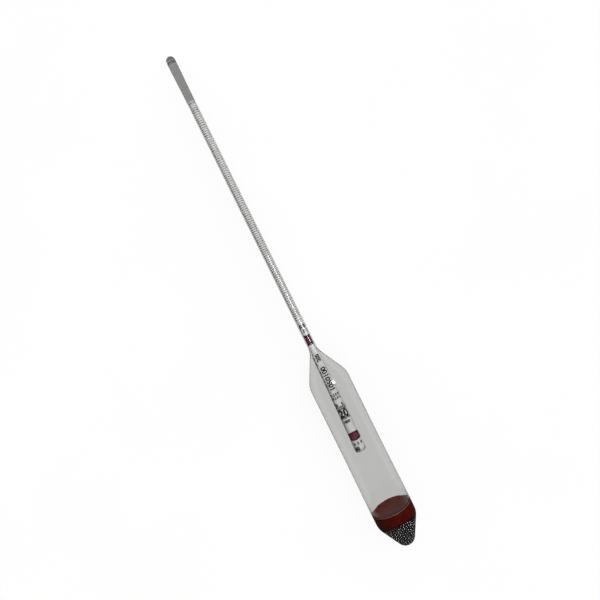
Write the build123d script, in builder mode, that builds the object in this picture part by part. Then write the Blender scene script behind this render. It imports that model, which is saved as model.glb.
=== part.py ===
"""Glass hydrometer: a weighted bulb and a graduated stem, lying on its bulb along X.

Lengths are millimetres. The stem points to +X and the nose to -X. The origin is on the surface
that the bulb lies on, under the middle of the instrument. Stations along the instrument are
measured from the tip of the nose.
"""

import os
from math import cos, pi, radians, sin, tan

import numpy as np
from build123d import *

# Driving dimensions
LENGTH = 328.0  # nose tip to stem tip
BARREL_RADIUS = 12.5  # straight upper stretch of the bulb
SWELL_RADIUS = 12.8  # the bulb is a little fuller above the nose
STEM_RADIUS = 2.57
BORE_RADIUS = 2.17
BULB_WALL = 1.2

# Nose: a round tip, a cone and a soft edge
NOSE_ANGLE = 28.0  # between the cone and the centre line
NOSE_TIP_RADIUS = 6.3
NOSE_TIP_WALL = 1.2
NOSE_EDGE_RADIUS = 9.0

# Barrel, shoulder and neck
SWELL_END = 30.0
BARREL_START = 60.0
SWELL_BLEND = 600.0
SHOULDER_START = 111.1  # where the cone would meet the barrel with no blend
SHOULDER_ANGLE = 27.6
SHOULDER_BLEND = 11.6
NECK_BLEND = 10.0
WELD = 136.0  # station where the stem tube is fused to the bulb

# Sealed end of the stem
SEAL_START = 303.0
SEAL_FULL = 319.0
SEAL_RADIUS = 2.8
SEAL_WALL = 3.0

# Scale paper: a tight roll in the stem that springs open below the neck
PAPER_THICKNESS = 0.12
PAPER_TOP = 297.4
PAPER_BOTTOM = 63.8
PAPER_NECK = 131.0
PAPER_OPEN = 120.0
STEM_ROLL_RADIUS = 2.07
OPEN_ROLL_RADIUS = 2.65
BOTTOM_ROLL_RADIUS = 3.5
OPEN_ROLL_SHIFT = 0.1  # the lower roll leans to +Y
BOTTOM_ROLL_SHIFT = 0.95

# Dabs of adhesive between the paper and the bore
DAB_STATIONS = (142.0, 294.0)
DAB_LENGTH = 3.0
DAB_ARC = 50.0

# Ballast and the wax that seals it in
SHOT_RADIUS = 0.7
SHOT_FILL = 0.54  # share of its space that the shot takes up
SHOT_SIDE = 16.0  # station of the shot's dished top, on the centre line
SHOT_DISH_RADIUS = 27.5
SHOT_GAP = 0.03  # least space kept while the shot settles
WAX_RIM = 25.2
WAX_DISH = 2.2
STOCK = 15.0  # reach of cutting shapes past the bulb's radius

SHOT_SEED = 5
TRIAL_POINTS = 40000
SETTLE_STEPS = 1500
NEIGHBOUR_STEPS = 25

NOSE_POINT = Vector(-LENGTH / 2, 0, SWELL_RADIUS)
SIDE = Plane(origin=NOSE_POINT, x_dir=(1, 0, 0), z_dir=(0, -1, 0))
CENTRE_LINE = Axis(NOSE_POINT, (1, 0, 0))

nose_sin = sin(radians(NOSE_ANGLE))
nose_tan = tan(radians(NOSE_ANGLE))
shoulder_sin = sin(radians(SHOULDER_ANGLE))
shoulder_tan = tan(radians(SHOULDER_ANGLE))


def cone_apex(wall):
    """Station where the nose cone, inset by wall, would come to a point."""
    return NOSE_TIP_RADIUS * (1 - 1 / nose_sin) + wall / nose_sin


def tip_centre(start, wall):
    """Station of the centre of the round tip that begins at start and runs into the cone."""
    return (start - cone_apex(wall) * nose_sin) / (1 - nose_sin)


def nose_corner(wall):
    """Where the cone would meet the swell with no soft edge."""
    radius = SWELL_RADIUS - wall
    return cone_apex(wall) + radius / nose_tan, radius


def shoulder_corner(radius, wall):
    """Point of the shoulder cone, inset by wall, at a radius."""
    return SHOULDER_START + (BARREL_RADIUS - radius) / shoulder_tan - wall / shoulder_sin, radius


def bulb_line(start, wall, neck_radius):
    """Half outline of the bulb from its nose to the weld, as the nose arc and the rest."""
    centre = tip_centre(start, wall)
    nose = CenterArc((centre, 0), centre - start, 180, NOSE_ANGLE - 90)
    flank = FilletPolyline(
        nose @ 1,
        nose_corner(wall),
        (SWELL_END, SWELL_RADIUS - wall),
        (BARREL_START, BARREL_RADIUS - wall),
        shoulder_corner(BARREL_RADIUS - wall, wall),
        shoulder_corner(neck_radius, wall),
        (WELD, neck_radius),
        radius=(
            NOSE_EDGE_RADIUS - wall,
            SWELL_BLEND,
            SWELL_BLEND,
            SHOULDER_BLEND - wall,
            NECK_BLEND + wall,
        ),
    )
    return nose, flank


def dish_station(height, clearance=0.0):
    """Station of the shot's dished top, or of a surface that far below it, at a height."""
    return SHOT_SIDE + SHOT_DISH_RADIUS - np.sqrt((SHOT_DISH_RADIUS + clearance) ** 2 - height**2)


def cavity_tangents():
    """Tangent planes of the hollow nose: their normals (along, outwards), and reaches."""
    tip = tip_centre(NOSE_TIP_WALL, BULB_WALL)
    edge_radius = NOSE_EDGE_RADIUS - BULB_WALL
    corner_x, corner_r = nose_corner(BULB_WALL)
    edge_x = corner_x + edge_radius * tan(radians(NOSE_ANGLE / 2))
    arcs = (
        (tip, 0.0, tip - NOSE_TIP_WALL, np.linspace(0, 90 - NOSE_ANGLE, 12)),
        (edge_x, corner_r - edge_radius, edge_radius, np.linspace(90 - NOSE_ANGLE, 90, 6)),
    )
    normals = []
    reaches = []
    for along, outwards, radius, angles in arcs:
        for angle in np.radians(angles):
            normal = np.array((-np.cos(angle), np.sin(angle)))
            normals.append(normal)
            reaches.append(normal @ (along, outwards) + radius)
    return np.array(normals), np.array(reaches)


def inside_excess(points, clearance, normals, reaches):
    """How far each centre stands past each tangent plane of the nose."""
    profile = np.stack((points[:, 0], np.hypot(points[:, 1], points[:, 2])), axis=1)
    return profile @ normals.T - (reaches - clearance)


def hold_in(points, clearance, normals, reaches):
    """Move centres back inside the nose and under the dished top."""
    excess = inside_excess(points, clearance, normals, reaches)
    push = np.maximum(excess.max(axis=1), 0)[:, None] * normals[excess.argmax(axis=1)]
    outwards = np.hypot(points[:, 1], points[:, 2])
    points[:, 0] -= push[:, 0]
    points[:, 1:] *= (1 - push[:, 1] / np.maximum(outwards, SHOT_GAP))[:, None]
    points[:, 0] = np.minimum(points[:, 0], dish_station(points[:, 2], clearance))


def close_pairs(points, reach):
    """Index pairs of centres nearer to each other than reach."""
    squares = (points**2).sum(axis=1)
    apart = squares[:, None] + squares[None] - 2 * points @ points.T
    return np.nonzero(np.triu(apart < reach**2, k=1))


def settled_shot():
    """Centres of the balls, filled in at random and pushed apart until none overlap."""
    random = np.random.default_rng(SHOT_SEED)
    normals, reaches = cavity_tangents()
    low = (0, -BARREL_RADIUS, -BARREL_RADIUS)
    high = (WAX_RIM, BARREL_RADIUS, BARREL_RADIUS)
    trial = random.uniform(low, high, (TRIAL_POINTS, 3))
    within = inside_excess(trial, 0, normals, reaches).max(axis=1) < 0
    within &= trial[:, 0] < dish_station(trial[:, 2])
    space = within.mean() * np.prod(np.subtract(high, low))
    count = int(SHOT_FILL * space / (4 / 3 * pi * SHOT_RADIUS**3))
    points = trial[within][:count]
    spacing = 2 * SHOT_RADIUS + SHOT_GAP
    for step in range(SETTLE_STEPS):
        if step % NEIGHBOUR_STEPS == 0:
            first, second = close_pairs(points, 1.5 * spacing)
        offset = points[first] - points[second]
        gap = np.linalg.norm(offset, axis=1)[:, None]
        push = offset / gap * np.maximum(spacing - gap, 0) / 2
        np.add.at(points, first, push)
        np.subtract.at(points, second, push)
        hold_in(points, SHOT_RADIUS + SHOT_GAP, normals, reaches)
    return points


def roll_circle(station, radius, shift):
    """A circle of the paper roll, square to the centre line."""
    centre = NOSE_POINT + Vector(station, shift, 0)
    with BuildSketch(Plane(origin=centre, x_dir=(0, 1, 0), z_dir=(1, 0, 0))) as circle:
        Circle(radius)
    return circle.sketch


# Bulb: one blown tube, closed at the nose and open where the stem is fused on
with BuildPart() as glass_bulb:
    with BuildSketch(SIDE):
        with BuildLine():
            outer_nose, outer_flank = bulb_line(0, 0, STEM_RADIUS)
            inner_nose, inner_flank = bulb_line(NOSE_TIP_WALL, BULB_WALL, BORE_RADIUS)
            Line(outer_nose @ 0, inner_nose @ 0)
            Line(outer_flank @ 1, inner_flank @ 1)
        make_face()
    revolve(axis=CENTRE_LINE)
glass_bulb.part.label = "glass_bulb"

# Stem: a narrow tube, sealed with a slightly swollen round end
with BuildPart() as glass_stem:
    with BuildSketch(SIDE):
        with BuildLine():
            outside = Polyline(
                (WELD, STEM_RADIUS),
                (SEAL_START, STEM_RADIUS),
                (SEAL_FULL, SEAL_RADIUS),
                (LENGTH - SEAL_RADIUS, SEAL_RADIUS),
            )
            RadiusArc(outside @ 1, (LENGTH, 0), SEAL_RADIUS)
            bore_end = LENGTH - SEAL_WALL
            bore = Line((WELD, BORE_RADIUS), (bore_end - BORE_RADIUS, BORE_RADIUS))
            RadiusArc(bore @ 1, (bore_end, 0), BORE_RADIUS)
            Line((bore_end, 0), (LENGTH, 0))
            Line(bore @ 0, outside @ 0)
        make_face()
    revolve(axis=CENTRE_LINE)
glass_stem.part.label = "glass_stem"

# Scale paper: one strip, rolled tight in the stem and springing open in the bulb
with BuildPart() as scale_paper:
    for inset, mode in ((0, Mode.ADD), (PAPER_THICKNESS, Mode.SUBTRACT)):
        loft(
            (
                roll_circle(PAPER_TOP, STEM_ROLL_RADIUS - inset, 0),
                roll_circle(PAPER_NECK, STEM_ROLL_RADIUS - inset, 0),
                roll_circle(PAPER_OPEN, OPEN_ROLL_RADIUS - inset, OPEN_ROLL_SHIFT),
                roll_circle(PAPER_BOTTOM, BOTTOM_ROLL_RADIUS - inset, BOTTOM_ROLL_SHIFT),
            ),
            ruled=True,
            mode=mode,
        )
scale_paper.part.label = "scale_paper"

# Adhesive: a dab at each end of the narrow roll, on the side that faces down
half_arc = radians(DAB_ARC / 2)
dab_plane = Plane(
    origin=NOSE_POINT,
    x_dir=(1, 0, 0),
    z_dir=(0, cos(half_arc), -sin(half_arc)),
)
with BuildPart() as scale_adhesive:
    with BuildSketch(dab_plane):
        for station in DAB_STATIONS:
            with Locations((station, (STEM_ROLL_RADIUS + BORE_RADIUS) / 2)):
                Rectangle(DAB_LENGTH, BORE_RADIUS - STEM_ROLL_RADIUS)
    revolve(axis=CENTRE_LINE, revolution_arc=DAB_ARC)
scale_adhesive.part.label = "scale_adhesive"

# Ballast: loose steel balls that fill the nose
with BuildPart() as ballast_shot:
    with Locations(*(NOSE_POINT + Vector(*centre) for centre in settled_shot())):
        Sphere(SHOT_RADIUS)
ballast_shot.part.label = "ballast_shot"

# Wax: poured over the shot, up to a rim that climbs the glass
with BuildPart() as wax_seal:
    with BuildSketch(SIDE):
        with BuildLine():
            nose, flank = bulb_line(NOSE_TIP_WALL, BULB_WALL, BORE_RADIUS)
            Polyline(flank @ 1, (WELD, 0), nose @ 0)
        make_face()
        with BuildLine():
            top = TangentArc(
                (WAX_RIM - WAX_DISH, 0),
                (WAX_RIM, SWELL_RADIUS - BULB_WALL),
                tangent=(0, 1),
            )
            Polyline(top @ 1, (WAX_RIM, STOCK), (0, STOCK), (0, 0), top @ 0)
        make_face(mode=Mode.INTERSECT)
    revolve(axis=CENTRE_LINE)
    with BuildSketch(SIDE):
        with BuildLine():
            edge = dish_station(STOCK)
            dish = ThreePointArc((edge, STOCK), (SHOT_SIDE, 0), (edge, -STOCK))
            Polyline(dish @ 1, (0, -STOCK), (0, STOCK), dish @ 0)
        make_face()
    extrude(amount=STOCK, both=True, mode=Mode.SUBTRACT)
wax_seal.part.label = "wax_seal"

os.makedirs("parts", exist_ok=True)
export_step(glass_bulb.part, "parts/glass_bulb.step")
export_step(glass_stem.part, "parts/glass_stem.step")
export_step(scale_paper.part, "parts/scale_paper.step")
export_step(scale_adhesive.part, "parts/scale_adhesive.step")
export_step(ballast_shot.part, "parts/ballast_shot.step")
export_step(wax_seal.part, "parts/wax_seal.step")
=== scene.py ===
"""Looks of the glass hydrometer: glass, paper scale, print, shot, wax, light and camera.

Blender's units are metres. The instrument lies along X with its stem towards +X. Stations are
millimetres along it from the tip of the nose, and radii are millimetres from its centre line.
"""

from math import atan2, cos, degrees, pi, radians, sin, sqrt, tan

import bmesh
import bpy
from mathutils import Matrix, Vector, noise


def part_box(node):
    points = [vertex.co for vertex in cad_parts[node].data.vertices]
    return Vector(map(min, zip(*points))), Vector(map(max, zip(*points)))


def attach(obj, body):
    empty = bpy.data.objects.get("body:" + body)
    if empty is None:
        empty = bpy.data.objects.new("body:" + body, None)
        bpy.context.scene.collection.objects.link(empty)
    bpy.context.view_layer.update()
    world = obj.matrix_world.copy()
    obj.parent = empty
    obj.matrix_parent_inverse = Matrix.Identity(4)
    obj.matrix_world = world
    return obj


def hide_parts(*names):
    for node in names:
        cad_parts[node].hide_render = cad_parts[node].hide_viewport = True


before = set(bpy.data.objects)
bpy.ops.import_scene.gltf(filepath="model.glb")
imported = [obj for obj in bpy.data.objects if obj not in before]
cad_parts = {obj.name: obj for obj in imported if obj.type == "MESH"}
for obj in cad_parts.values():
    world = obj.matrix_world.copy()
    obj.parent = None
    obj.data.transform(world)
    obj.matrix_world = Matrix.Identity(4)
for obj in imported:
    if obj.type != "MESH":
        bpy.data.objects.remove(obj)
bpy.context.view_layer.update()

MM = 0.001
bulb_low, bulb_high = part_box("glass_bulb")
stem_low, stem_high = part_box("glass_stem")
NOSE_X = bulb_low.x
AXIS_Z = (stem_low.z + stem_high.z) / 2
LENGTH = (stem_high.x - NOSE_X) / MM
SWELL_RADIUS = (bulb_high.z - bulb_low.z) / 2 / MM
SEAL_RADIUS = (stem_high.z - stem_low.z) / 2 / MM

# Glass, as the CAD model has it
BARREL_RADIUS = 12.5
STEM_RADIUS = 2.57
BORE_RADIUS = 2.17
BULB_WALL = 1.2
WAX_WALL = 0.5  # the wall where the wax lies against it
WAX_WALL_START = 27.0
WAX_WALL_END = 42.0
NOSE_ANGLE = 28.0
NOSE_TIP_RADIUS = 6.3
NOSE_TIP_WALL = 1.2
NOSE_EDGE_RADIUS = 9.0
SWELL_END = 30.0
BARREL_START = 60.0
SWELL_BLEND = 600.0
SHOULDER_START = 111.1
SHOULDER_ANGLE = 27.6
SHOULDER_BLEND = 11.6
NECK_BLEND = 10.0
SEAL_START = 303.0
SEAL_FULL = 319.0
SEAL_WALL = 3.0
SEAL_BLEND = 300.0
TURN_STEPS = 256
OUTER_SLOT, STEM_END_SHADE_SLOT, TIP_SHADE_SLOT, HOLLOW_SLOT = range(4)  # the glass's materials; the stem end's and the tip's are painted shade

# Paper
PAPER_THICKNESS = 0.08
PAPER_TOP = 297.4
PAPER_BOTTOM = 63.8
PAPER_NECK = 131.0
PAPER_OPEN = 125.0
STEM_ROLL_RADIUS = 2.07
OPEN_ROLL_RADIUS = 2.65
BOTTOM_ROLL_RADIUS = 3.5
OPEN_ROLL_SHIFT = 0.1
BOTTOM_ROLL_SHIFT = 0.95
ROLL_PITCH = 0.1  # how far each turn of the strip lies inside the next
END_BOW = 1.4  # how much shorter the strip is at the back of its lower end
LAP = 0.35  # turns of the strip that overlap
LAP_EDGE = 0.56  # turns from the top to the strip's outer edge
PAPER_STEPS = 120
INK = 0.008
INK_GAP = 0.004
CAPITAL_SHARE = 0.7  # a capital's height as a share of the text size
LETTER_SLICE = 0.29
SAME_CORNER = 0.0001  # corners of letters nearer than this are one corner

# Divisions: density from the top line down, evenly spaced in density
FIRST_DIVISION = 292.8
LAST_DIVISION = 151.1
TOP_DENSITY = 1.000
DIVISIONS = 105
DENSITY_STEP = 0.0005
LINE_WIDTH = 0.27
LINE_START = -0.27  # turns from the top where every line starts
LINE_REACH = 0.27  # and where a plain, a fifth and a tenth line end
FIFTH_REACH = 0.34
TENTH_REACH = 0.42
DENSITY_ABOVE = 2.6  # how far a density figure stands above its line
DENSITY_HEIGHT = 1.5
DENSITY_TURN = 0.5
DENSITY_BOLD = 0.03

# Print: stations, letter heights, turns from the top, figures and boldness
HEAD_RULE = (295.95, 296.25)
HEAD_RULE_REACH = 0.42
RULE_REACH = 0.24
BAND_TURNS = (-0.42, 0.5)
ROUND_MARKS = (
    (146.5, 2.1, -0.01, "5 0", 0.22),
    (143.4, 1.9, 0.0, "1 5 1", 0.2),
    (101.1, 1.35, 0.0, "0 5 2 5 0 2", 0.15),
    (98.9, 1.35, 0.03, "5 0 2 0 5", 0.15),
    (94.7, 1.5, -0.04, "20    0  1", 0.18),
    (89.0, 4.6, 0.0, "20", 0.34),
    (83.6, 1.6, 0.02, "1050", 0.17),
    (69.1, 1.5, 0.04, "0  5  5  0", 0.15),
    (66.0, 2.1, 0.08, "50", 0.22),
)
LONG_MARKS = (
    (125.2, 2.2, -0.02, "205", 0.19),
    (125.5, 0.65, 0.14, "0.0005 - 1.000 - 1.050 - 20", 0.06),
    (111.4, 3.1, -0.02, "1050100", 0.2),
    (111.6, 0.75, 0.13, "0.0005  20.0  1.000  1.050", 0.06),
)
BAND_MARKS = (
    (138.4, 1.3, "2 0 5 0 2"),
    (136.4, 1.3, "5 0 2 0 5"),
    (74.9, 1.3, "1 0 5"),
    (72.9, 1.3, "5 0 1"),
)
RULES = ((93.55, 93.05), (92.85, 92.4), (92.1, 91.45), (86.45, 85.95), (85.75, 85.3))
BANDS = ((134.1, 140.7, 0.0), (71.2, 76.7, 0.9))  # stations of the two ends, and how far they bow

# Wax and shot
SHOT_SIDE = 16.0
SHOT_DISH_RADIUS = 27.5
WAX_RIM = 25.2
WAX_DISH = 2.2
BED = 0.03  # how far the wax reaches into the glass, so that no air shows between them
BED_DEPTH = 0.3
WAX_DEPTH = 0.3  # how far the wax has run down between the balls
RIPPLE = 2.2
RIPPLE_SIZE = 0.9
WAX_STEPS = 240
WAX_RINGS = 24
WAX_SIDE_STEPS = 10
WAX_HIGHLIGHT_LINE = 0.035  # share of the side taken by the pale line where the wax climbs the glass, a painted highlight
WAX_SLOT, WAX_HIGHLIGHT_LINE_SLOT, WAX_LIT_TOP_SLOT = range(3)  # the wax's materials; the line is a painted highlight and the top is painted light

# Colours, as linear light
# The main glass's grey is partly its own tint and partly painted shade, the shade beneath seen through
# it
GLASS_TINT_AND_SHADE = (0.6, 0.6, 0.592)
# Painted shade: the stem's clear end and the sealed tip are darker glass, for the shade seen through
# them
STEM_END_SHADE_TINT = (0.29, 0.29, 0.285)
TIP_SHADE_TINT = (0.16, 0.16, 0.157)
HOLLOW_TINT = (0.97, 0.97, 0.97)
GLASS_SHADOW = (0.95, 0.95, 0.95)
PAPER_DARK = (0.64, 0.64, 0.63)
PAPER_PALE = (0.72, 0.72, 0.71)
WAX_DARK = (0.045, 0.0025, 0.0015)
WAX_RED = (0.1, 0.006, 0.0035)
# Painted light: the wax's top is a lighter copy of its side, for the light and sheen on it
WAX_LIT_TOP_DARK = (0.08, 0.008, 0.005)
WAX_LIT_TOP_RED = (0.17, 0.022, 0.016)
# Painted highlight: the pale line where the wax climbs the glass
WAX_HIGHLIGHT_PALE = (0.3, 0.15, 0.13)
WAX_HIGHLIGHT_PALEST = (0.4, 0.22, 0.2)
SHOT_DARK = (0.045, 0.045, 0.045)
SHOT_PALE = (0.08, 0.08, 0.08)
SHOT_EDGE = (0.02, 0.02, 0.02)  # how much of the glint at a ball's edge is left
FLOOR_DARK = (0.19, 0.19, 0.19)
FLOOR_PALE = (0.21, 0.21, 0.21)

# Floor, light and camera
FLOOR_HALF = 2.5
FLOOR_GLOW = 0.885
WINDOW_SIDE = (0.0, -0.77, 0.64)  # the side of the room that is bright
ROOM_LIGHT = ((-1.0, 0.1), (-0.2, 0.3), (0.9, 0.9))  # light from each side, against WINDOW_SIDE
ROOM_GLOSS = ((-0.6, 0.05), (0.1, 0.06), (0.5, 0.04))  # the same, as reflections show it
ROOM_THROUGH = ((-0.3, 0.4), (0.25, 0.5), (0.9, 0.7))  # and as it shows through glass
BACKDROP = 1.2  # and as the camera sees it past the floor
CAMERA_ROLL = 26.3
CAMERA_STATION = 161.2
CAMERA_ACROSS = -6.05
CAMERA_HEIGHT = 300.0
CAMERA_LENS = 29.75
# Lamps: across, along and height in metres, then the size along and across, and the watts
WINDOW = (-0.18, -0.004, 0.46, 0.185, 0.16, 1.0)
FILL = (-0.14, 0.2, 0.55, 0.4, 0.4, 4.4)
SPARK = (-0.05, -0.16, 0.46, 0.1, 0.06, 9.0)


def place(station, across, up):
    """A point of the instrument, from millimetres about its centre line to the world."""
    return Vector((NOSE_X + station * MM, across * MM, AXIS_Z + up * MM))


# ---------------------------------------------------------------- outlines

nose_sin = sin(radians(NOSE_ANGLE))
nose_tan = tan(radians(NOSE_ANGLE))
shoulder_sin = sin(radians(SHOULDER_ANGLE))
shoulder_tan = tan(radians(SHOULDER_ANGLE))


def blend(a, b, share):
    """From a to b with a soft start and end."""
    share = min(max(share, 0), 1)
    return a + (b - a) * share * share * (3 - 2 * share)


def arc(centre, radius, start, end, steps):
    """Points of an arc, with angles in degrees."""
    turn = [radians(start + (end - start) * i / steps) for i in range(steps + 1)]
    return [(centre[0] + radius * cos(a), centre[1] + radius * sin(a)) for a in turn]


def rounded(points, radii, steps=14):
    """The points with each inner corner replaced by an arc."""
    path = [points[0]]
    for before, corner, after, radius in zip(points, points[1:], points[2:], radii):
        into = (Vector(before) - Vector(corner)).normalized()
        out = (Vector(after) - Vector(corner)).normalized()
        half = into.angle(out) / 2
        if half > pi / 2 - 1e-4:
            path.append(corner)
            continue
        centre = Vector(corner) + (into + out).normalized() * radius / sin(half)
        first = Vector(corner) + into * radius / tan(half) - centre
        turn = (pi - 2 * half) * (1 if out.cross(into) > 0 else -1)
        start = atan2(first.y, first.x)
        path += arc(centre, radius, degrees(start), degrees(start + turn), steps)
    return path + [points[-1]]


def cone_apex(wall):
    """Station where the nose cone, inset by wall, would come to a point."""
    return NOSE_TIP_RADIUS * (1 - 1 / nose_sin) + wall / nose_sin


def nose_corner(wall):
    """Where the nose cone would meet the swell."""
    return cone_apex(wall) + (SWELL_RADIUS - wall) / nose_tan, SWELL_RADIUS - wall


def shoulder_corner(radius, wall):
    """Point of the shoulder cone, inset by wall, at a radius."""
    return SHOULDER_START + (BARREL_RADIUS - radius) / shoulder_tan - wall / shoulder_sin, radius


def glass_line(start, wall, stem_radius, seal_radius, end):
    """Outline of the whole glass from nose to sealed end, inset by wall in the bulb."""
    centre = (start - cone_apex(wall) * nose_sin) / (1 - nose_sin)
    nose = arc((centre, 0), centre - start, 180, 90 + NOSE_ANGLE, 24)
    dome = end - seal_radius
    corners = [
        nose[-1],
        nose_corner(wall),
        (SWELL_END, SWELL_RADIUS - wall),
        (BARREL_START, BARREL_RADIUS - wall),
        shoulder_corner(BARREL_RADIUS - wall, wall),
        shoulder_corner(stem_radius, wall),
        (PAPER_TOP, stem_radius),  # a ring where the darker glass of painted shade starts
        (SEAL_START, stem_radius),
        (SEAL_FULL, seal_radius),
        (dome, seal_radius),
    ]
    radii = [
        NOSE_EDGE_RADIUS - wall,
        SWELL_BLEND,
        SWELL_BLEND,
        SHOULDER_BLEND - wall,
        NECK_BLEND + wall,
        SEAL_BLEND,
        SEAL_BLEND,
        SEAL_BLEND,
    ]
    return nose[:-1] + rounded(corners, radii) + arc((dome, 0), seal_radius, 90, 0, 16)[1:]


# ---------------------------------------------------------------- meshes


def new_piece(name, bm, slot, *nodes):
    """A smooth mesh object from a bmesh, riding on the instrument."""
    mesh = bpy.data.meshes.new(name)
    bm.to_mesh(mesh)
    bm.free()
    mesh.shade_smooth()
    piece = bpy.data.objects.new(name, mesh)
    bpy.context.scene.collection.objects.link(piece)
    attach(piece, "root")
    if nodes:
        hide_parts(*nodes)
    return piece


def turned(bm, outline, steps=TURN_STEPS, inwards=False):
    """Turns an outline that starts and ends on the centre line into a closed skin."""
    rings = []
    for station, radius in outline:
        if radius < 1e-6:
            rings.append([bm.verts.new(place(station, 0, 0))])
            continue
        angles = [2 * pi * i / steps for i in range(steps)]
        rings.append([bm.verts.new(place(station, radius * sin(a), radius * cos(a))) for a in angles])
    for ring, following in zip(rings, rings[1:]):
        for i in range(steps):
            j = (i + 1) % steps
            loop = [ring[i % len(ring)], following[i % len(following)]]
            loop += [following[j % len(following)], ring[j % len(ring)]]
            loop = list(dict.fromkeys(loop))
            face = bm.faces.new(loop)
            if inwards:
                face.normal_flip()


def hollow_line():
    """Outline of the hollow, from the nose to the end of the bore, with a thinner wall by the wax."""
    outline = []
    end = LENGTH - SEAL_WALL
    for at, radius in glass_line(NOSE_TIP_WALL, BULB_WALL, BORE_RADIUS, BORE_RADIUS, end):
        if radius > BORE_RADIUS:
            share = (WAX_WALL_END - at) / (WAX_WALL_END - WAX_WALL_START)
            radius += blend(0, BULB_WALL - WAX_WALL, share)
        outline.append((at, radius))
    return outline


def hollow_radius(station):
    """Radius of the hollow at a station of the nose or the swell."""
    outline = hollow_line()
    for (x0, r0), (x1, r1) in zip(outline, outline[1:]):
        if x0 <= station <= x1:
            return r0 + (r1 - r0) * (station - x0) / (x1 - x0)
    return BORE_RADIUS


def wax_top(share):
    """Station of the wax's top, which is dished and climbs the glass, at a share of its reach."""
    return WAX_RIM - WAX_DISH * (1 - share**2) ** 0.8


def glass_piece():
    """Bulb and stem, fused into one envelope with a sealed hollow.

    The hollow's skin ends just inside the wax. Wax and shot lie against the glass with no air
    between, and seen from outside they fill its whole width.
    """
    bm = bmesh.new()
    turned(bm, glass_line(0, 0, STEM_RADIUS, SEAL_RADIUS, LENGTH))
    outside = len(bm.faces)
    rim = WAX_RIM - BED_DEPTH
    reach = hollow_radius(rim)
    shares = [sin(pi / 2 * i / WAX_RINGS) for i in range(WAX_RINGS)]
    bed = [(wax_top(share) - BED_DEPTH, reach * share) for share in shares]
    walls = [point for point in hollow_line() if point[0] > rim and point[1] > 0]
    turned(bm, bed + [(rim, reach)] + walls + [hollow_line()[-1]], inwards=True)
    # The stem's clear end and the tip take darker glass, painted shade.
    for number, face in enumerate(bm.faces):
        at = (face.calc_center_median().x - NOSE_X) / MM
        if number >= outside:
            face.material_index = HOLLOW_SLOT
        elif at > LENGTH - SEAL_WALL:
            face.material_index = TIP_SHADE_SLOT
        elif at > PAPER_TOP:
            face.material_index = STEM_END_SHADE_SLOT
        else:
            face.material_index = OUTER_SLOT
    return new_piece("glass_envelope", bm, "glass", "glass_bulb", "glass_stem")


# ---------------------------------------------------------------- paper


def roll_radius(station):
    """Outer radius of the paper roll."""
    if station > PAPER_OPEN:
        neck_share = (PAPER_NECK - station) / (PAPER_NECK - PAPER_OPEN)
        return blend(STEM_ROLL_RADIUS, OPEN_ROLL_RADIUS, neck_share)
    share = (PAPER_OPEN - station) / (PAPER_OPEN - PAPER_BOTTOM)
    return OPEN_ROLL_RADIUS + (BOTTOM_ROLL_RADIUS - OPEN_ROLL_RADIUS) * share


def roll_shift(station):
    """How far the roll leans to +Y."""
    neck_share = (PAPER_NECK - station) / (PAPER_NECK - PAPER_OPEN)
    share = max((PAPER_OPEN - station) / (PAPER_OPEN - PAPER_BOTTOM), 0)
    return blend(0, OPEN_ROLL_SHIFT, neck_share) + (BOTTOM_ROLL_SHIFT - OPEN_ROLL_SHIFT) * share


def on_roll(station, turn, height):
    """A point above the strip, which winds inwards from its outer edge; turn 0 faces up."""
    radius = roll_radius(station) - ROLL_PITCH * (LAP_EDGE - turn) + height
    angle = 2 * pi * turn
    return place(station, radius * sin(angle) + roll_shift(station), radius * cos(angle))


def stations_between(high, low, steps):
    """Evenly spaced stations from high towards low, without the last."""
    return [high + (low - high) * i / steps for i in range(steps)]


def strip_end(station, turn):
    """Rounds the lower end of the strip; other stations stay."""
    if station > PAPER_BOTTOM:
        return station
    return station + END_BOW * (1 - cos(2 * pi * turn)) / 2


def paper_piece():
    """One thin strip rolled over itself, open at both ends."""
    bm = bmesh.new()
    stations = stations_between(PAPER_TOP, PAPER_NECK, 12)
    stations += stations_between(PAPER_NECK, PAPER_OPEN, 16)
    stations += stations_between(PAPER_OPEN, PAPER_BOTTOM, 24) + [PAPER_BOTTOM]
    turns = [LAP_EDGE - (1 + LAP) * i / PAPER_STEPS for i in range(PAPER_STEPS + 1)]
    outer, inner = (
        [[bm.verts.new(on_roll(strip_end(s, t), t, -depth)) for t in turns] for s in stations]
        for depth in (0, PAPER_THICKNESS)
    )
    for grid in (outer, inner):
        for row, below in zip(grid, grid[1:]):
            for i in range(PAPER_STEPS):
                bm.faces.new((row[i], row[i + 1], below[i + 1], below[i]))
    for row in (0, -1):
        for i in range(PAPER_STEPS):
            bm.faces.new((outer[row][i], outer[row][i + 1], inner[row][i + 1], inner[row][i]))
    for column in (0, -1):
        for i in range(len(stations) - 1):
            rims = outer[i][column], outer[i + 1][column], inner[i + 1][column], inner[i][column]
            bm.faces.new(rims)
    bmesh.ops.recalc_face_normals(bm, faces=bm.faces)
    return new_piece("scale_paper_roll", bm, "paper", "scale_paper")


# ---------------------------------------------------------------- print


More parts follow.
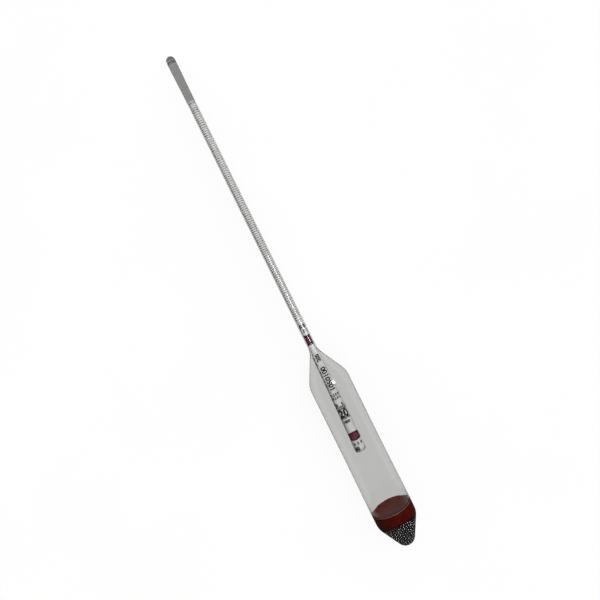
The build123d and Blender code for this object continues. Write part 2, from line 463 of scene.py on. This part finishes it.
def ink_patch(bm, start, end, first_turn, last_turn, steps, slots=1, bow=0.0):
    """A thin patch of ink between two stations and two turns, its ends bowed out at the top."""

    def column(turn, height):
        inset = bow * (1 - cos(2 * pi * turn))
        low, high = start + inset, end - inset
        places = [low + (high - low) * j / slots for j in range(slots + 1)]
        return [bm.verts.new(on_roll(at, turn, height)) for at in places]

    turns = [first_turn + (last_turn - first_turn) * i / steps for i in range(steps + 1)]
    low, high = ([column(turn, height) for turn in turns] for height in (INK_GAP, INK_GAP + INK))
    for a, b, c, d in zip(low, low[1:], high, high[1:]):
        for j in range(slots):
            bm.faces.new((a[j], b[j], b[j + 1], a[j + 1]))
            bm.faces.new((c[j], c[j + 1], d[j + 1], d[j]))
        bm.faces.new((a[0], c[0], d[0], b[0]))
        bm.faces.new((a[-1], b[-1], d[-1], c[-1]))
    for row, above in ((low[0], high[0]), (low[-1], high[-1])):
        for j in range(slots):
            bm.faces.new((row[j], row[j + 1], above[j + 1], above[j]))


def division_station(number):
    """Station of a division, which floats level when the liquid has its density."""
    bottom = TOP_DENSITY + DENSITY_STEP * DIVISIONS
    reach = (FIRST_DIVISION - LAST_DIVISION) / (1 - TOP_DENSITY / bottom)
    density = TOP_DENSITY + DENSITY_STEP * number
    return FIRST_DIVISION - reach * (1 - TOP_DENSITY / density)


def divisions_piece():
    """Every division line; the longer ones reach further round to the figures."""
    bm = bmesh.new()
    for number in range(DIVISIONS + 1):
        reach = TENTH_REACH if number % 10 == 0 else FIFTH_REACH if number % 5 == 0 else LINE_REACH
        middle = division_station(number)
        half = LINE_WIDTH / 2
        ink_patch(bm, middle - half, middle + half, LINE_START, reach, 36)
    bmesh.ops.recalc_face_normals(bm, faces=bm.faces)
    return new_piece("scale_divisions", bm, "paper")


def text_mesh(text, height, bold=0.0):
    """Closed flat letters, centred on the origin, with their tops towards +Y."""
    curve = bpy.data.curves.new("letters", "FONT")
    curve.body = text
    curve.size = height / CAPITAL_SHARE
    curve.align_x = "CENTER"
    curve.extrude = 0.5
    curve.offset = bold
    curve.resolution_u = 3
    letters = bpy.data.objects.new("letters", curve)
    bm = bmesh.new()
    bm.from_mesh(bpy.data.meshes.new_from_object(letters))
    bpy.data.objects.remove(letters)
    bmesh.ops.remove_doubles(bm, verts=bm.verts, dist=SAME_CORNER)
    bmesh.ops.translate(bm, verts=bm.verts, vec=(0, -height / 2, 0))
    return bm


def print_text(bm, text, height, station, turn, along=False, bold=0.0, lift=0.0):
    """Prints text on the roll, round it or along it, in slices that follow the curve."""
    letters = text_mesh(text, height, bold)
    across = Vector((0, 1, 0)) if along else Vector((1, 0, 0))
    lowest = min(v.co.dot(across) for v in letters.verts)
    highest = max(v.co.dot(across) for v in letters.verts)
    cuts = int((highest - lowest) / LETTER_SLICE)
    for i in range(1, cuts + 1):
        geometry = letters.verts[:] + letters.edges[:] + letters.faces[:]
        point = across * (lowest + (highest - lowest) * i / (cuts + 1))
        bmesh.ops.bisect_plane(letters, geom=geometry, plane_co=point, plane_no=across)
    bmesh.ops.dissolve_degenerate(letters, dist=SAME_CORNER, edges=letters.edges)
    ring = 2 * pi * roll_radius(station)
    new = {}
    for v in letters.verts:
        x, y, z = v.co
        height_here = INK_GAP + INK * (z + 0.5) + lift
        if along:
            new[v] = bm.verts.new(on_roll(station + x, turn + y / ring, height_here))
        else:
            new[v] = bm.verts.new(on_roll(station + y, turn - x / ring, height_here))
    for face in letters.faces:
        bm.faces.new([new[v] for v in face.verts])
    letters.free()


def figures_piece():
    """Black figures and rules: densities up the stem, and generic marks on the lower roll."""
    bm = bmesh.new()
    ink_patch(bm, *HEAD_RULE, -HEAD_RULE_REACH, HEAD_RULE_REACH, 40)
    for number in range(0, DIVISIONS + 1, 10):
        density = TOP_DENSITY + DENSITY_STEP * number
        middle = division_station(number) + DENSITY_ABOVE
        figures = f"{density:.3f}"[1:]
        print_text(bm, figures, DENSITY_HEIGHT, middle, DENSITY_TURN, bold=DENSITY_BOLD)
    for station, height, turn, text, bold in ROUND_MARKS:
        print_text(bm, text, height, station, turn, bold=bold)
    for station, height, turn, text, bold in LONG_MARKS:
        print_text(bm, text, height, station, turn, along=True, bold=bold)
    for start, end in RULES:
        ink_patch(bm, start, end, -RULE_REACH, RULE_REACH, 28, slots=2)
    bmesh.ops.recalc_face_normals(bm, faces=bm.faces)
    return new_piece("scale_figures", bm, "paper")


def bands_piece():
    """Two wine-red bands printed round the strip."""
    bm = bmesh.new()
    for start, end, bow in BANDS:
        ink_patch(bm, start, end, *BAND_TURNS, 60, slots=6, bow=bow)
    bmesh.ops.recalc_face_normals(bm, faces=bm.faces)
    return new_piece("scale_bands", bm, "paper")


def band_figures_piece():
    """Pale figures left open in the two bands."""
    bm = bmesh.new()
    for station, height, text in BAND_MARKS:
        print_text(bm, text, height, station, 0.0, lift=INK)
    bmesh.ops.recalc_face_normals(bm, faces=bm.faces)
    return new_piece("band_figures", bm, "paper")


# ---------------------------------------------------------------- wax and shot


def wax_floor(across, up):
    """Station where the wax ends, a little way down between the balls."""
    dish = SHOT_SIDE + SHOT_DISH_RADIUS - sqrt(SHOT_DISH_RADIUS**2 - up**2)
    ripple = noise.noise(Vector((across, up, 0.0)) / RIPPLE_SIZE)
    return dish - WAX_DEPTH + RIPPLE * ripple


def wax_piece():
    """The wax plug: a dished top, a side against the glass and an uneven underside."""
    bm = bmesh.new()
    top_reach = hollow_radius(WAX_RIM) + BED
    angles = [2 * pi * i / WAX_STEPS for i in range(WAX_STEPS)]

    def ring(points):
        return [bm.verts.new(place(*p)) for p in points]

    rings = []
    for step in range(1, WAX_RINGS + 1):
        share = sin(pi / 2 * step / WAX_RINGS)
        radius = top_reach * share
        at = wax_top(share)
        rings.append(ring([(at, radius * sin(a), radius * cos(a)) for a in angles]))
    sides = [side_floor(a) for a in angles]
    # The first side ring bounds the pale band of painted highlight where the wax meets the glass.
    for share in [WAX_HIGHLIGHT_LINE] + [step / WAX_SIDE_STEPS for step in range(1, WAX_SIDE_STEPS + 1)]:
        points = []
        for a, low in zip(angles, sides):
            at = WAX_RIM + (low - WAX_RIM) * share
            radius = hollow_radius(at) + BED
            points.append((at, radius * sin(a), radius * cos(a)))
        rings.append(ring(points))
    for step in range(WAX_RINGS - 1, 0, -1):
        points = []
        for a, low in zip(angles, sides):
            radius = (hollow_radius(low) + BED) * step / WAX_RINGS
            across, up = radius * sin(a), radius * cos(a)
            points.append((wax_floor(across, up), across, up))
        rings.append(ring(points))
    first = bm.verts.new(place(wax_top(0), 0, 0))
    last = bm.verts.new(place(wax_floor(0, 0), 0, 0))
    for i in range(WAX_STEPS):
        j = (i + 1) % WAX_STEPS
        # The dished top takes the lighter wax, painted light.
        bm.faces.new((first, rings[0][i], rings[0][j])).material_index = WAX_LIT_TOP_SLOT
        bm.faces.new((last, rings[-1][j], rings[-1][i]))
        # The top's faces take the lighter wax of painted light, the first side ring the pale painted
        # highlight.
        for number, (upper, lower) in enumerate(zip(rings, rings[1:]), start=1):
            face = bm.faces.new((upper[i], lower[i], lower[j], upper[j]))
            if number < WAX_RINGS:
                face.material_index = WAX_LIT_TOP_SLOT
            elif number == WAX_RINGS:
                face.material_index = WAX_HIGHLIGHT_LINE_SLOT
            else:
                face.material_index = WAX_SLOT
    bmesh.ops.recalc_face_normals(bm, faces=bm.faces)
    return new_piece("wax_plug", bm, "wax", "wax_seal")


def side_floor(angle):
    """Station where the wax's underside meets the glass, found by stepping up from the nose."""
    at = SHOT_SIDE
    for _ in range(6):
        radius = hollow_radius(at) + BED
        at = wax_floor(radius * sin(angle), radius * cos(angle))
    return at


# ---------------------------------------------------------------- materials


class Nodes:
    """A short way to build one material's nodes."""

    def __init__(self, name):
        self.material = bpy.data.materials.new(name)
        self.material.use_nodes = True
        self.tree = self.material.node_tree
        self.tree.nodes.clear()
        self.output = self.add("ShaderNodeOutputMaterial")
        self.position = self.add("ShaderNodeTexCoord").outputs["Object"]

    def add(self, kind, **inputs):
        node = self.tree.nodes.new(kind)
        for key, value in inputs.items():
            self.join(value, node.inputs[key.replace("_", " ")])
        return node

    def join(self, value, socket):
        if isinstance(value, bpy.types.NodeSocket):
            self.tree.links.new(value, socket)
        else:
            socket.default_value = value

    def noise(self, scale, detail=3.0, stretch=(1, 1, 1)):
        """Noise over the object, with features of about 1 / scale metres."""
        mapping = self.add("ShaderNodeMapping", Vector=self.position, Scale=stretch)
        texture = self.add("ShaderNodeTexNoise", Vector=mapping.outputs[0], Scale=scale, Detail=detail)
        return texture.outputs["Fac"]

    def ramp(self, factor, *stops):
        """A colour ramp through (place, colour) stops."""
        node = self.add("ShaderNodeValToRGB", Fac=factor)
        elements = node.color_ramp.elements
        while len(elements) < len(stops):
            elements.new(0.5)
        for element, (at, colour) in zip(elements, stops):
            element.position = at
            element.color = (*colour, 1)
        return node.outputs["Color"]

    def bump(self, factor, strength, distance):
        node = self.add("ShaderNodeBump", Strength=strength, Distance=distance, Height=factor)
        return node.outputs["Normal"]

    def surface(self, shader):
        self.tree.links.new(shader, self.output.inputs["Surface"])
        return self.material


def glass_material(name, tint):
    """Grey drawn glass, with faint draw lines, that lets lamps light what it holds; its grey is partly
    painted shade.
    """
    n = Nodes(name)
    lines = n.noise(300, 1.0, stretch=(0.02, 1, 1))
    shader = n.add(
        "ShaderNodeBsdfPrincipled",
        Base_Color=(*tint, 1),
        Roughness=0.0,
        IOR=1.48,
        Transmission_Weight=1.0,
        Normal=n.bump(lines, 0.008, 0.0001),
    )
    clear = n.add("ShaderNodeBsdfTransparent", Color=(*GLASS_SHADOW, 1))
    path = n.add("ShaderNodeLightPath")
    mix = n.add("ShaderNodeMixShader", Fac=path.outputs["Is Shadow Ray"])
    n.join(shader.outputs[0], mix.inputs[1])
    n.join(clear.outputs[0], mix.inputs[2])
    return n.surface(mix.outputs[0])


def paper_material():
    """Off-white printing paper with fibre and a little yellowing."""
    n = Nodes("scale_paper")
    fibre = n.noise(5200, 5.0, stretch=(0.5, 1, 1))
    colour = n.ramp(n.noise(160), (0.3, PAPER_DARK), (0.7, PAPER_PALE))
    shader = n.add(
        "ShaderNodeBsdfPrincipled",
        Base_Color=colour,
        Roughness=0.75,
        Normal=n.bump(fibre, 0.25, 0.00003),
    )
    return n.surface(shader.outputs[0])


def ink_material(name, dark, pale):
    """Printing ink, a little uneven over the paper's fibre."""
    n = Nodes(name)
    colour = n.ramp(n.noise(2600, 4.0), (0.35, dark), (0.75, pale))
    shader = n.add("ShaderNodeBsdfPrincipled", Base_Color=colour, Roughness=0.6, Specular_IOR_Level=0.2)
    return n.surface(shader.outputs[0])


def shot_material():
    """Dark polished steel, each ball a little different."""
    n = Nodes("ballast_shot")
    tone = n.ramp(n.noise(700, 1.0), (0.35, SHOT_DARK), (0.7, SHOT_PALE))
    shader = n.add(
        "ShaderNodeBsdfPrincipled",
        Base_Color=tone,
        Metallic=1.0,
        Roughness=0.3,
        Specular_Tint=(*SHOT_EDGE, 1),
    )
    return n.surface(shader.outputs[0])


def wax_material(name, dark, red):
    """Sealing wax with a soft sheen, uneven in colour and gently rippled."""
    n = Nodes(name)
    colour = n.ramp(n.noise(300), (0.3, dark), (0.75, red))
    shader = n.add(
        "ShaderNodeBsdfPrincipled",
        Base_Color=colour,
        Roughness=0.3,
        Specular_IOR_Level=0.05,
        Normal=n.bump(n.noise(420), 0.2, 0.0004),
    )
    return n.surface(shader.outputs[0])


def adhesive_material():
    """Dried amber gum."""
    n = Nodes("scale_adhesive")
    colour = n.ramp(n.noise(2000), (0.3, (0.45, 0.36, 0.2)), (0.7, (0.6, 0.5, 0.3)))
    shader = n.add("ShaderNodeBsdfPrincipled", Base_Color=colour, Roughness=0.3)
    return n.surface(shader.outputs[0])


def floor_material():
    """A pale matt table top that glows softly, so that shadows on it stay faint."""
    n = Nodes("floor")
    shader = n.add(
        "ShaderNodeBsdfPrincipled",
        Base_Color=n.ramp(n.noise(9), (0.3, FLOOR_DARK), (0.7, FLOOR_PALE)),
        Roughness=0.9,
        Emission_Color=(1, 1, 1, 1),
        Emission_Strength=FLOOR_GLOW,
    )
    return n.surface(shader.outputs[0])


def paint(piece, *materials):
    for material in materials:
        piece.data.materials.append(material)


# ---------------------------------------------------------------- the object

glass = glass_piece()
paper = paper_piece()
divisions = divisions_piece()
figures = figures_piece()
bands = bands_piece()
band_figures = band_figures_piece()
wax = wax_piece()

black_ink = ink_material("black_ink", (0.006, 0.006, 0.006), (0.03, 0.03, 0.03))
paint(
    glass,
    # The main glass's grey is partly painted shade
    glass_material("hydrometer_glass", GLASS_TINT_AND_SHADE),
    # Painted shade: darker glass for the stem's clear end and the sealed tip
    glass_material("stem_end_shaded_glass", STEM_END_SHADE_TINT),
    glass_material("sealed_tip_shaded_glass", TIP_SHADE_TINT),
    glass_material("hollow_skin_glass", HOLLOW_TINT),
)
paint(paper, paper_material())
paint(divisions, black_ink)
paint(figures, black_ink)
paint(bands, ink_material("wine_ink", (0.05, 0.0005, 0.015), (0.08, 0.001, 0.026)))
paint(band_figures, ink_material("pale_ink", (0.4, 0.16, 0.26), (0.5, 0.24, 0.34)))
paint(
    wax,
    wax_material("sealing_wax", WAX_DARK, WAX_RED),
    # Painted highlight along the wax's rim
    wax_material("wax_highlight_line", WAX_HIGHLIGHT_PALE, WAX_HIGHLIGHT_PALEST),
    # Painted light: the top is a lighter copy of the side wax
    wax_material("wax_top", WAX_LIT_TOP_DARK, WAX_LIT_TOP_RED),
)

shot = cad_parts["ballast_shot"]
shot.material_slots[0].material = shot_material()
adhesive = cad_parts["scale_adhesive"]
adhesive.material_slots[0].material = adhesive_material()


# ---------------------------------------------------------------- floor, light and camera


def area_light(name, across, along, height, size_along, size_across, watts):
    """A soft box that faces the middle of the instrument; distances are in metres."""
    lamp = bpy.data.lights.new(name, "AREA")
    lamp.shape = "RECTANGLE"
    lamp.size = size_along
    lamp.size_y = size_across
    lamp.energy = watts
    light = bpy.data.objects.new(name, lamp)
    bpy.context.scene.collection.objects.link(light)
    at = Vector((along, across, height))
    right = Vector((1, 0, 0))
    back = (at - Vector((along, 0, AXIS_Z))).normalized()
    up = back.cross(right).normalized()
    turn = Matrix((right, up, back)).transposed().to_4x4()
    light.matrix_world = Matrix.Translation(at) @ turn
    return light


bm = bmesh.new()
bmesh.ops.create_grid(bm, x_segments=8, y_segments=8, size=FLOOR_HALF)
mesh = bpy.data.meshes.new("floor")
bm.to_mesh(mesh)
bm.free()
floor = bpy.data.objects.new("floor", mesh)
bpy.context.scene.collection.objects.link(floor)
floor.data.materials.append(floor_material())
floor.visible_diffuse = False
floor.visible_glossy = False


def skips(lamp, *pieces):
    """Keeps a lamp's light off some pieces."""
    unlit = bpy.data.collections.new(f"{lamp.name}_skips")
    lamp.light_linking.receiver_collection = unlit
    for number, piece in enumerate(pieces):
        unlit.objects.link(piece)
        unlit.collection_objects[number].light_linking.link_state = "EXCLUDE"


# The window draws the bright streak on the glass. The fill lights what the glass holds, unseen.
skips(area_light("window", *WINDOW), floor, shot)
fill = area_light("fill", *FILL)
fill.visible_glossy = False
fill.visible_transmission = False
skips(fill, floor, shot)

spark = area_light("spark", *SPARK)
only_shot = bpy.data.collections.new("spark_lights")
only_shot.objects.link(shot)
spark.light_linking.receiver_collection = only_shot


def room_light():
    """White to the camera; as light, in reflections and through glass it varies from side to side."""
    world = bpy.data.worlds.new("studio")
    world.use_nodes = True
    tree = world.node_tree
    tree.nodes.clear()
    direction = tree.nodes.new("ShaderNodeTexCoord").outputs["Generated"]
    side = tree.nodes.new("ShaderNodeVectorMath")
    side.operation = "DOT_PRODUCT"
    tree.links.new(direction, side.inputs[0])
    side.inputs[1].default_value = WINDOW_SIDE

    def background(strength):
        node = tree.nodes.new("ShaderNodeBackground")
        if isinstance(strength, bpy.types.NodeSocket):
            tree.links.new(strength, node.inputs["Strength"])
        else:
            node.inputs["Strength"].default_value = strength
        return node.outputs[0]

    def by_side(*stops):
        """Strength through (side, strength) stops."""
        ramp = tree.nodes.new("ShaderNodeFloatCurve")
        shift = tree.nodes.new("ShaderNodeMath")
        shift.operation = "MULTIPLY_ADD"
        tree.links.new(side.outputs["Value"], shift.inputs[0])
        shift.inputs[1].default_value = 0.5
        shift.inputs[2].default_value = 0.5
        tree.links.new(shift.outputs[0], ramp.inputs["Value"])
        scale = max(strength for _, strength in stops)
        curve = ramp.mapping.curves[0]
        curve.points[0].location = (0, stops[0][1] / scale)
        curve.points[-1].location = (1, stops[-1][1] / scale)
        for at, strength in stops:
            curve.points.new(0.5 + 0.5 * at, strength / scale)
        ramp.mapping.update()
        grow = tree.nodes.new("ShaderNodeMath")
        grow.operation = "MULTIPLY"
        tree.links.new(ramp.outputs[0], grow.inputs[0])
        grow.inputs[1].default_value = scale
        return grow.outputs[0]

    path = tree.nodes.new("ShaderNodeLightPath")
    shader = background(by_side(*ROOM_LIGHT))
    for ray, other in (
        ("Is Glossy Ray", background(by_side(*ROOM_GLOSS))),
        ("Is Transmission Ray", background(by_side(*ROOM_THROUGH))),
        ("Is Camera Ray", background(BACKDROP)),
    ):
        mix = tree.nodes.new("ShaderNodeMixShader")
        tree.links.new(path.outputs[ray], mix.inputs[0])
        tree.links.new(shader, mix.inputs[1])
        tree.links.new(other, mix.inputs[2])
        shader = mix.outputs[0]
    tree.links.new(shader, tree.nodes.new("ShaderNodeOutputWorld").inputs["Surface"])
    return world


bpy.context.scene.world = room_light()

camera = bpy.data.objects.new("camera", bpy.data.cameras.new("camera"))
bpy.context.scene.collection.objects.link(camera)
roll = radians(CAMERA_ROLL)
right = Vector((-sin(roll), -cos(roll), 0))
up = Vector((cos(roll), -sin(roll), 0))
camera.matrix_world = Matrix((right, up, Vector((0, 0, 1)))).transposed().to_4x4()
camera.location = place(CAMERA_STATION, CAMERA_ACROSS, CAMERA_HEIGHT)
camera.data.sensor_width = 36.0
camera.data.lens = CAMERA_LENS
camera.data.clip_start = 0.01
bpy.context.scene.camera = camera

bpy.context.scene.view_settings.view_transform = "Standard"
bpy.context.scene.cycles.caustics_refractive = False
bpy.context.scene.cycles.caustics_reflective = False
